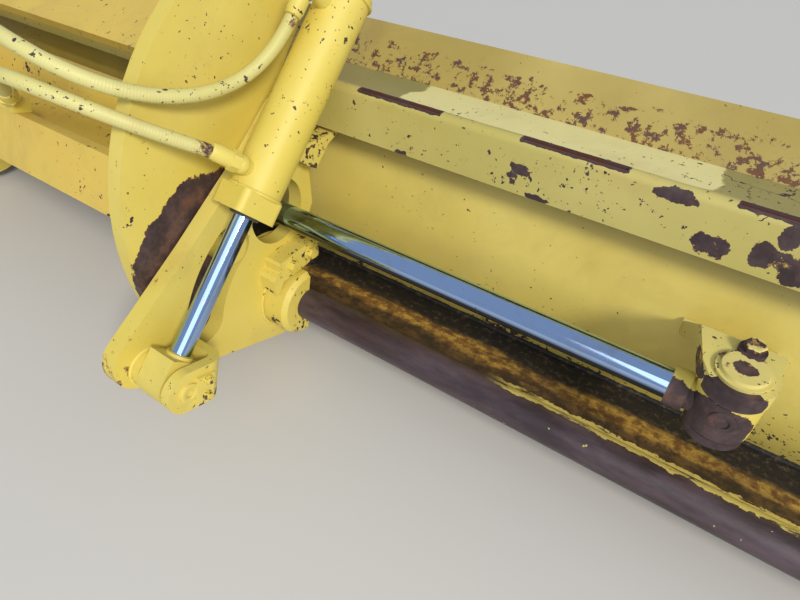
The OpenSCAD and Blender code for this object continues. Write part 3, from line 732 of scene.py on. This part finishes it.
def railMaterial():
    # olive paint: its top in painted shade but for a pale patch of painted sunlight on sun-faded
    # paint, cracked and lifting towards the right end, slots rusted inside
    mat, tree, bsdf, where = startMaterial("railPaint")
    c, s = math.cos(math.radians(rail["slope"])), math.sin(math.radians(rail["slope"]))
    inward = along(tree, where, rail["corner"], (0, c, -s))
    above = along(tree, where, rail["corner"], (0, s, c))
    length = along(tree, where, rail["middle"], xAxis)
    fromSlot = calc(tree, "PINGPONG", length, rail["halfPitch"])

    slotIn = band(tree, inward, *rail["slotIn"], 0.5)
    inSlot = times(tree, slotIn, band(tree, above, *rail["slotUp"], 0.4))
    inSlot = times(tree, inSlot, band(tree, fromSlot, *rail["slot"], 0.5))
    rimIn = band(tree, inward, *rail["rimIn"], 3.5)
    rims = times(tree, rimIn, band(tree, above, *rail["rimUp"], 0.5))
    rims = times(tree, rims, band(tree, fromSlot, *rail["rim"], 10.0))
    rims = ragged(tree, rims, where, 60.0, 0.9)
    rightEnd = ramp(tree, length, *rail["rightEnd"])
    onLip = minus(tree, 1.0, ramp(tree, inward, *rail["lip"]))
    lifting = times(tree, rightEnd, plus(tree, times(tree, onLip, 0.20), 0.07))
    marks = spots(tree, where, wear["rail"])

    # cracks are the borders of cells, bent by a coarse noise
    bent = addNode(tree, "TexNoise", {"Vector": where, "Scale": 7.0, "Detail": 5.0,
                                      "Roughness": 0.7})
    swirl = vectorMath(tree, "SCALE", {0: bent.outputs[1], "Scale": 0.16})
    twisted = vectorMath(tree, "ADD", {0: where, 1: swirl})
    cells = addNode(tree, "TexVoronoi", {"Vector": twisted, "Scale": 6.0},
                    feature="DISTANCE_TO_EDGE")
    cracks = minus(tree, 1.0, ramp(tree, cells.outputs["Distance"], 0.006, 0.016))
    cracked = ramp(tree, length, *rail["cracked"])
    cracked = times(tree, cracked, grainMask(tree, where, "crackAreas"))
    cracks = times(tree, times(tree, cracks, cracked), 0.75)
    worn = strongest(tree, [inSlot, rims, lifting, marks, cracks])

    # a pale patch on the rail's top: painted sunlight, on paint also faded by the sun
    patch = band(tree, length, *rail["sunlitFaded"], 120.0)
    onTop = ramp(tree, inward, *rail["onTop"])
    sunPatch = ragged(tree, times(tree, patch, onTop), where, 6.0, 0.5)
    # the rest of the top is darker than the lip: painted shade
    topShade = times(tree, onTop, minus(tree, 1.0, sunPatch))
    paint = mixColor(tree, topShade, finish["olive"], finish["oliveShaded"])
    faded = mixColor(tree, topShade, finish["oliveFaded"], finish["oliveFadedShaded"])
    faded = mixColor(tree, sunPatch, faded, finish["sunlitFaded"])
    bare = mixColor(tree, inSlot, finish["bare"], finish["slotRust"])
    finishFrom(tree, bsdf, where, Worn=worn, Paint=paint, Faded=faded, Specks=0.62,
               Patches=0.03, Bare=bare, Grime=0.12, Bleach=times(tree, sunPatch, 0.9), Seed=9.0)
    return mat


def slideBarMaterial():
    # dark greasy bar with remains of paint at its right end, then forward of it on the web
    # a groove of brown grime, an ochre shelf, and crusted grease against the back
    mat, tree, bsdf, where = startMaterial("slideBarFinish")
    forward = along(tree, where, onBar, yAxis)
    height = along(tree, where, onBar, zAxis)
    length = along(tree, where, onBar, xAxis)
    stretch = stretched(tree, where, (0.25, 1.0, 1.0))
    wander = swing(tree, noise(tree, stretch, *grain["grooveEdge"]), 90.0)
    line = plus(tree, forward, wander)
    fine = noise(tree, where, *grain["barFine"])
    cloudy = noise(tree, stretch, *grain["barClouds"])

    pale = ramp(tree, cloudy, 0.38, 0.66)
    barTone = mixColor(tree, pale, finish["bar"], finish["barLight"])
    rusty = times(tree, grainMask(tree, stretch, "barRust"), 0.42)
    barTone = mixColor(tree, rusty, barTone, finish["barRust"])
    pale = ramp(tree, fine, 0.40, 0.64)
    groove = mixColor(tree, pale, finish["groove"], finish["grooveLight"])
    pale = ramp(tree, fine, 0.42, 0.62)
    shelf = mixColor(tree, pale, finish["shelf"], finish["shelfLight"])
    color = mixColor(tree, ramp(tree, line, *bar["groove"]), barTone, groove)
    onShelf = ramp(tree, line, *bar["shelf"])
    broken = grainMask(tree, stretch, "shelfBreaks")
    color = mixColor(tree, times(tree, onShelf, broken), color, shelf)

    shore = plus(tree, forward, swing(tree, noise(tree, where, *grain["shore"]), 44.0))
    left = band(tree, height, *bar["paintUp"], 4.0)
    left = times(tree, left, band(tree, shore, *bar["paintIn"], 3.0))
    left = times(tree, left, ramp(tree, length, *bar["paintFrom"]))
    remains = grainMask(tree, stretch, "remains")
    remains = times(tree, remains, ramp(tree, left, 0.25, 0.6))
    flecks = grainMask(tree, where, "barFlecks")
    flecks = times(tree, flecks, ramp(tree, forward, *bar["flecks"]))
    color = mixColor(tree, strongest(tree, [remains, flecks]), color, finish["paintRemains"])

    crust = ramp(tree, line, *bar["crust"])
    lump = noise(tree, where, *grain["lumps"])
    pale = ramp(tree, lump, 0.50, 0.70)
    crustTone = mixColor(tree, pale, finish["grease"], finish["crustLight"])
    color = mixColor(tree, crust, color, crustTone)
    tree.links.new(color, bsdf.inputs["Base Color"])
    shine = plus(tree, 0.30, times(tree, cloudy, 0.30))
    dry = times(tree, ramp(tree, line, *bar["glossEnd"]), 0.22)
    tree.links.new(plus(tree, shine, dry, clamp=True), bsdf.inputs["Roughness"])
    rise = plus(tree, times(tree, crust, 6.0), ramp(tree, line, *bar["groove"]))
    lumps = times(tree, lump, rise)
    small = plus(tree, times(tree, fine, 0.7), times(tree, remains, 0.8))
    bumpFrom(tree, bsdf, plus(tree, lumps, small), strength=0.7)
    return mat


def rodMaterial(name, origin, direction, changeAt, worn, mirroredGround=None):
    # chrome up to the rod's eye, which is painted and worn; changeAt is mm along direction,
    # and the last argument gives where and which way the chrome darkens: painted reflection of
    # dark ground
    mat, tree, bsdf, where = startMaterial(name)
    reached = along(tree, where, origin, direction)
    isEye = ramp(tree, reached, changeAt - 0.5, changeAt + 0.5)
    aged = placeGroup(tree, paintGroup, {
        "Vector": where, "Specks": 0.5, "Patches": 0.06, "Grime": 0.15, "Seed": 21.0,
        "Worn": spots(tree, where, worn)})
    lengthways = stretched(tree, where, (0.12, 1.0, 1.0))
    scratch = grainMask(tree, lengthways, "scratches")
    film = times(tree, grainMask(tree, where, "rodFilm"), 0.4)
    fleck = grainMask(tree, where, "rodFlecks")
    dulled = strongest(tree, [film, times(tree, scratch, 0.25)])
    # the chrome's blue tint is a painted reflection of sky
    metal = mixColor(tree, dulled, finish["chromeSkyBlue"], finish["chromeFilm"])
    metal = mixColor(tree, fleck, metal, finish["bare"])
    if mirroredGround:
        # the chrome darkens underneath: painted reflection of dark ground
        groundReflection = ramp(tree, along(tree, where, *mirroredGround), 3.0, 11.0)
        metal = mixColor(tree, groundReflection, metal, finish["groundReflection"])
    color = mixColor(tree, isEye, metal, aged.outputs["Color"])
    tree.links.new(color, bsdf.inputs["Base Color"])
    dulling = plus(tree, times(tree, film, 0.30), times(tree, scratch, 0.10))
    rough = mixValue(tree, isEye, plus(tree, 0.07, dulling), aged.outputs["Roughness"])
    tree.links.new(rough, bsdf.inputs["Roughness"])
    metallic = mixValue(tree, isEye, 1.0, aged.outputs["Metal"])
    tree.links.new(metallic, bsdf.inputs["Metallic"])
    bumpFrom(tree, bsdf, times(tree, aged.outputs["Height"], isEye))
    return mat


def wornSteelMaterial():
    mat, tree, bsdf, where = startMaterial("wornSteel")
    cut = noise(tree, stretched(tree, where, (1.0, 9.0, 9.0)), *grain["steelCuts"])
    rust = grainMask(tree, where, "steelRust")
    color = mixColor(tree, ramp(tree, cut, 0.3, 0.7), finish["steelDark"], finish["steel"])
    color = mixColor(tree, times(tree, rust, 0.8), color, finish["steelRust"])
    tree.links.new(color, bsdf.inputs["Base Color"])
    tree.links.new(minus(tree, 0.75, times(tree, rust, 0.6)), bsdf.inputs["Metallic"])
    tree.links.new(plus(tree, 0.38, times(tree, rust, 0.4)), bsdf.inputs["Roughness"])
    bumpFrom(tree, bsdf, cut, steelBumpDepth)
    return mat


tipSlope = math.radians(42.25)
tipAxis = (0, math.cos(tipSlope), math.sin(tipSlope))

plainPaint = paintMaterial("yellowPaint", Specks=0.35, Patches=0.08, Grime=0.2)
beamPaint = paintMaterial("beamPaint", Specks=0.5, Patches=0.30, Grime=0.30, Seed=15.0,
                          Paint=finish["beam"], Faded=finish["paint"])
cylinderPaint = paintMaterial("cylinderPaint", Specks=0.62, Patches=0.03, Grime=0.05, Seed=5.0)
# the tilt plates have rubbed a crescent of each leg bare, and its rim rusts
legPaint = paintMaterial("legPaint", bothSides(wear["leg"]), Specks=0.42, Patches=0.05,
                         Grime=0.10, Seed=1.0)
platePaint = tiltPlateMaterial()
blockPaint = paintMaterial("blockPaint", Specks=0.8, Patches=0.16, Grime=0.12, Seed=4.0)
shellPaint = paintMaterial("shellPaint", bothSides(wear["shell"]), Specks=0.75, Patches=0.16,
                           Grime=0.16, Seed=6.0)
boardPaint = moldboardMaterial()
railPaint = railMaterial()
barFinish = slideBarMaterial()
bracketPaint = paintMaterial("bracketPaint", wear["bracket"], Specks=0.6, Patches=0.12,
                             Grime=0.12, Seed=13.0, Paint=finish["bracket"])
capPaint = paintMaterial("capPaint", wear["cap"], Specks=0.85, Patches=0.55, Grime=0.15,
                         Seed=19.0, Paint=finish["cap"])
tipRodFinish = rodMaterial("tipRodFinish", (0, -360, 80), tuple(-c for c in tipAxis), -52.5,
                           bothSides(wear["tipEye"]))
# the darkened underside is a painted reflection of the dark ground that the real rod mirrors
shiftRodFinish = rodMaterial("shiftRodFinish", (1501, 0, 0), xAxis, 0.0, wear["shiftEye"],
                             mirroredGround=((0, 12, 217), (0, -0.35, -0.94)))
wornSteel = wornSteelMaterial()
fastenerPaint = paintMaterial("fastenerPaint", Specks=0.8, Patches=0.22, Grime=0.25, Seed=17.0)
boreShadow = paintMaterial("boreShadow", Specks=0.0, Patches=0.0, Grime=0.0,
                           Paint=finish["shadow"], Faded=finish["shadowLight"])
rubberSeal = paintMaterial("rubberSeal", Specks=0.3, Patches=0.1, Grime=0.3, Seed=23.0,
                           Paint=finish["rubber"], Faded=finish["rubberLight"])
print("finishes made")


def pair(*names):
    return [name + side for name in names for side in ("_right", "_left")]


coats = {
    plainPaint: ["hose_fittings", "shift_anchor"] + pair("base_pin"),
    beamPaint: ["cross_beam", "inner_beam"],
    cylinderPaint: pair("tip_barrel") + ["shift_barrel"],
    legPaint: pair("leg"),
    platePaint: pair("tilt_plate"),
    blockPaint: pair("keeper", "rail_guide", "tip_lug", "lug_pin", "guide_stud"),
    shellPaint: pair("bearing_shell"),
    boardPaint: ["moldboard"],
    railPaint: ["rail"],
    barFinish: ["slide_bar"],
    bracketPaint: ["shift_bracket"],
    capPaint: ["shift_pin"],
    shiftRodFinish: ["shift_rod"],
    tipRodFinish: pair("tip_rod"),
    wornSteel: ["cutting_edges", "end_bits"],
}
for material, names in coats.items():
    for name in names:
        for slot in nodes[name].material_slots:
            slot.link = "OBJECT"
            slot.material = material

sides = {"Right": 1.0, "Left": -1.0}
hexAngle = 30

# turned shapes: (height, radius) in mm
profiles = {
    "ferrule": [(-0.2, 12.5), (0, 15.8), (27, 15.8), (30, 14.6), (34, 14.6), (36, 13.0),
                (36.2, 11.5)],
    "hoseNut": [(-17.9, 12), (-17.8, 17.8), (-17, 19.2), (-1, 19.2), (-0.4, 18), (-0.3, 12)],
    "nippleFoot": [(0, 3), (0.1, 5.6), (5, 5.6), (5.4, 4)],
    "nippleNeck": [(5, 3.2), (8, 3.0), (9, 2.2), (10, 3.1), (12.2, 3.1), (13.6, 1.6),
                   (13.8, 0.4)],
    "pinEndRing": [(-4, 20), (0.5, 20), (1.2, 19), (1.3, 11), (0.4, 9.6), (-6, 9.5),
                   (-6.2, 0.2)],
    "pinEndBore": [(-4.5, 9.4), (-4.4, 0.2)],
    "rodWiper": [(-5, 20.5), (-5, 26), (-1, 29), (0, 29)],
    "portCap": [(0, 10), (0, 20), (12, 20), (13, 19), (13.2, 0.2)],
    "eyePort": [(-6, 19), (1.5, 19), (2.5, 17.5), (2.6, 10.5), (-3, 10), (-3.1, 0.2)],
    "eyePortHole": [(-2.8, 9.8), (-2.7, 0.2)],
    "edgeBolt": [(-1, 15), (0.5, 15), (2.0, 11), (2.6, 5), (2.7, 0.2)],
}

# ---- hoses: control points in mm; the wrap's pitch and the rings count in metres
hoses = {
    "upper": [(751, 91, 622), (751, 0, 540), (575, 64, 330), (955, -688, 638),
              (300, -134, 758), (423, -329, 612), (267, -251, 478)],
    "lower": [(743, -118, 414), (722, -158, 455), (676, -336, 556), (470, -356, 641),
              (457, -305, 551), (341, -251, 473)],
    "diameter": 24.0,
    "sides": 14,
    "ringsPerMetre": 1000,
    "pathPoints": 40,
    "wrapPitch": 0.0046,
}
hosePaint = paintMaterial("paintedHose", wear["hose"], Paint=finish["hose"],
                          Faded=finish["hoseFaded"], Bare=finish["hoseBare"], Specks=0.65,
                          Patches=0.06, Grime=0.15, Seed=3.0)


def hosePath(points, count=None):
    # a Bezier curve: its points are sums of the control points, weighed by Bernstein's
    # polynomials
    p = at(*np.array(points, float).T)
    n = len(p) - 1
    t = np.linspace(0, 1, 2000)[:, None]
    fine = sum(math.comb(n, i) * (1 - t) ** (n - i) * t**i * p[i] for i in range(n + 1))
    run = runAlong(fine)
    return evenly(fine, run, count or int(run[-1] * hoses["ringsPerMetre"]))[1]


def makeHose(name, points, node):
    line = hosePath(points)
    length = float(np.linalg.norm(np.diff(line, axis=0), axis=1).sum())
    run = np.linspace(0, length, len(line))
    ribs = 0.965 + 0.035 * np.abs(np.sin(run / hoses["wrapPitch"] * math.pi))
    skin = tube(line, hoses["diameter"] * halfMm * ribs, hoses["sides"])
    hose = makePiece(name, [skin], None, hosePaint, angle=60)
    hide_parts(node)
    short = hosePath(points, hoses["pathPoints"])
    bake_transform(hose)
    ends = {"Port": (line[0], line[6] - line[0], "tip_barrel_r"),
            "Frame": (line[-1], line[-7] - line[-1], "legs")}
    for label, (place, way, body) in ends.items():
        way = unit(way)
        parts = [turned(profiles["ferrule"], place, way, 28),
                 turned(profiles["hoseNut"], place, way, 6)]
        makePiece(name + label + "Ferrule", parts, body, fastenerPaint)


makeHose("upperHose", hoses["upper"], "hose_upper")
makeHose("lowerHose", hoses["lower"], "hose_lower")
print("hoses made")

# ---- bolts, pins' ends, seals and nipples
bolts = {
    "keeper": {"x": 734.0, "ys": (-10.0, 48.0), "z": 105.0, "across": 24.0, "height": 12.0},
    "retainer": {"x": 812.6, "out": 36, "apart": 17, "slope": -20, "across": 13.0,
                 "height": 6.0},
    "cap": {"place": (1580, 57, 298), "across": 27.0, "height": 11.0},
    "edge": {"across": 26.0, "height": 14.0, "pitch": 152.4, "margin": 75,
             "rowAngles": (200.0, 206.0)},
}
tipCylinder = {"pin": (-360.0, 80.0), "pinEnd": 809.5, "x": 750.55, "length": 840.4,
               "rodOut": 330.0, "gland": 42.0, "barrel": 48.0, "base": 66, "baseBead": 12,
               "ports": (405.0, 724.4), "portHeight": 62, "nipple": (30, 32)}
eyePort = {"place": (1582, -32.5, 233), "axis": (0.07, -1, 0)}


def onTip(side, x, y, z):
    # a point beside a tip cylinder: x along it from the rod's pin, y towards the blade's
    # middle, z off its rear
    c, s = math.cos(tipSlope), math.sin(tipSlope)
    pinY, pinZ = tipCylinder["pin"]
    return at(side * (tipCylinder["x"] - y), pinY + c * x - s * z, pinZ + s * x + c * z)


def tipWay(side, x, y, z):
    return onTip(side, x, y, z) - onTip(side, 0, 0, 0)


def boltHead(kind, place, axis):
    return hexHead(place, axis, bolts[kind]["across"], bolts[kind]["height"])


def nipple(centre, axis):
    # a grease nipple: hex foot, neck and ball
    return joinParts([turned(profiles["nippleFoot"], centre, axis, 6),
                      turned(profiles["nippleNeck"], centre, axis, 12)])


def makePinEnd(sideName, side):
    # two bolts hold the pin's strap, and the pin's end is a ring round an open bore
    outward = (side, 0, 0)
    k = bolts["retainer"]
    slope = math.radians(k["slope"])
    strap = np.array([0.0, math.cos(slope), math.sin(slope)])
    overStrap = np.array([0.0, -strap[2], strap[1]])
    pin = at(side * k["x"], *tipCylinder["pin"])
    places = [pin + (k["out"] * strap + s * k["apart"] * overStrap) * mm for s in (-1, 1)]
    makePiece("pinRetainerBolts" + sideName, [boltHead("retainer", p, outward) for p in places],
              "tilt_frame", fastenerPaint, hexAngle)
    end = at(side * tipCylinder["pinEnd"], *tipCylinder["pin"])
    makePiece("pinEndRing" + sideName, [turned(profiles["pinEndRing"], end, outward, 40)],
              "tilt_frame", blockPaint)
    # the bore's floor is a dark disc: painted shade
    makePiece("pinEndBore" + sideName, [turned(profiles["pinEndBore"], end, outward, 24)],
              "tilt_frame", boreShadow)


def dressTipCylinder(sideName, side):
    # the wiper where the rod enters its gland, the beads round the barrel and a nipple
    body = "tip_barrel_" + sideName[0].lower()
    gland = onTip(side, tipCylinder["rodOut"], 0, 0)
    wiper = turned(profiles["rodWiper"], gland, tipWay(side, 1, 0, 0), 40)
    makePiece("rodWiper" + sideName, [wiper], body, rubberSeal)
    turn = np.linspace(0, 2 * math.pi, 90)
    r = tipCylinder["barrel"] + 1.2
    beads = []
    for x in (tipCylinder["rodOut"] + tipCylinder["gland"] + 1.5,
              tipCylinder["length"] - tipCylinder["base"] - tipCylinder["baseBead"]):
        beads.append(weldLine(onTip(side, x, r * np.cos(turn), r * np.sin(turn)), 6.0))
    makePiece("barrelWelds" + sideName, beads, body, cylinderPaint)
    past, height = tipCylinder["nipple"]
    place = onTip(side, tipCylinder["length"] + past, 0, height)
    makePiece("baseEyeNipple" + sideName, [nipple(place, tipWay(side, 0.6, 0, 0.8))], body,
              fastenerPaint)


for sideName, side in sides.items():
    k = bolts["keeper"]
    places = [at(side * k["x"], y, k["z"]) for y in k["ys"]]
    makePiece("keeperBolts" + sideName, [boltHead("keeper", p, (side, 0, 0)) for p in places],
              "tilt_frame", fastenerPaint, hexAngle)
    makePinEnd(sideName, side)
    dressTipCylinder(sideName, side)
    if sideName == "Left":
        caps = [turned(profiles["portCap"], onTip(side, x, 0, tipCylinder["portHeight"]),
                       tipWay(side, 0, 0, 1), 6) for x in tipCylinder["ports"]]
        makePiece("portCapsLeft", caps, "tip_barrel_l", fastenerPaint, hexAngle)

makePiece("pinCapBolt", [boltHead("cap", at(*bolts["cap"]["place"]), zAxis)], "blade",
          capPaint, hexAngle)
print("bolts made")

# a port in the side-shift rod's eye, its hole open
portCentre = at(*eyePort["place"])
makePiece("eyePort", [turned(profiles["eyePort"], portCentre, eyePort["axis"], 32)], "blade",
          shiftRodFinish)
# the hole's floor is a dark disc: painted shade
makePiece("eyePortHole", [turned(profiles["eyePortHole"], portCentre, eyePort["axis"], 24)],
          "blade", boreShadow)

# ---- welds and the cutting edges' bolts
shape = {
    "plateX": 695.0, "plateProud": 1.5, "shell": 77.0, "shellAngles": (75.0, 262.0),
    "lugBoss": 39.5, "legInner": 623.0, "beam": (-264.0, 381.9), "beamSlope": -18,
    "beamLoop": [(-1, -55), (26, -55), (26, 55), (-1, 55), (-1, -55)],
    "back": (605.0, 119.0), "backR": 440.0, "frontR": 399.0, "blade": (-1625.0, 2033.0),
    "webTop": (186.0, -17.0), "webMargin": 32, "earRoot": (172.0, 210.0), "ear": (1479, 1625),
}


def onArc(x, centre, r, degrees):
    # points in the side view on an arc, at the place x along the blade
    a = np.radians(degrees)
    return at(x, centre[0] + r * np.cos(a), centre[1] + r * np.sin(a))


for sideName, side in sides.items():
    face = side * (shape["plateX"] + shape["plateProud"])
    shellArc = np.linspace(*shape["shellAngles"], 60)
    arcs = [onArc(face, (0.0, 0.0), shape["shell"] + 3.0, shellArc),
            onArc(face, tipCylinder["pin"], shape["lugBoss"], np.linspace(0, 360, 60))]
    makePiece("plateWelds" + sideName, [weldLine(arc, 6.0) for arc in arcs], "tilt_frame",
              shellPaint)

    # the rear plate between the legs is welded to them all round
    slope = math.radians(shape["beamSlope"])
    c, s = math.cos(slope), math.sin(slope)
    y, z = shape["beam"]
    x = side * (shape["legInner"] - 2.0)
    loop = [at(x, y + c * u - s * v, z + s * u + c * v) for u, v in shape["beamLoop"]]
    makePiece("beamWelds" + sideName, [weldLine(loop, 9.0)], "legs", beamPaint)

first, last = shape["blade"]
y, z = shape["webTop"]
bead = weldLine([at(x, y - 2.0, z + 2.0)
                 for x in (first + shape["webMargin"], last - shape["webMargin"])], 11.0)
makePiece("webWeld", [bead], "blade", barFinish)
y, z = shape["earRoot"]
bead = weldLine([at(x, y - 2, z + 2) for x in shape["ear"]], 10.0)
makePiece("bracketWeld", [bead], "blade", bracketPaint)

# square-necked bolts through the cutting edges, their nuts on the moldboard's back
heads, nuts = [], []
first, last = first + bolts["edge"]["margin"], last - bolts["edge"]["margin"]
count = int((last - first) / bolts["edge"]["pitch"])
for i in range(count + 1):
    x = first + (last - first) * i / count
    degrees = bolts["edge"]["rowAngles"][i % 2]
    outward = -np.array([0.0, math.cos(math.radians(degrees)), math.sin(math.radians(degrees))])
    front = onArc(x, shape["back"], shape["frontR"], degrees)
    rear = onArc(x, shape["back"], shape["backR"], degrees)
    heads.append(turned(profiles["edgeBolt"], front, outward, 20))
    nuts.append(boltHead("edge", rear, -outward))
makePiece("edgeBoltHeads", heads, "blade", wornSteel)
makePiece("edgeBoltNuts", nuts, "blade", fastenerPaint, hexAngle)
print("welds and edge bolts made")
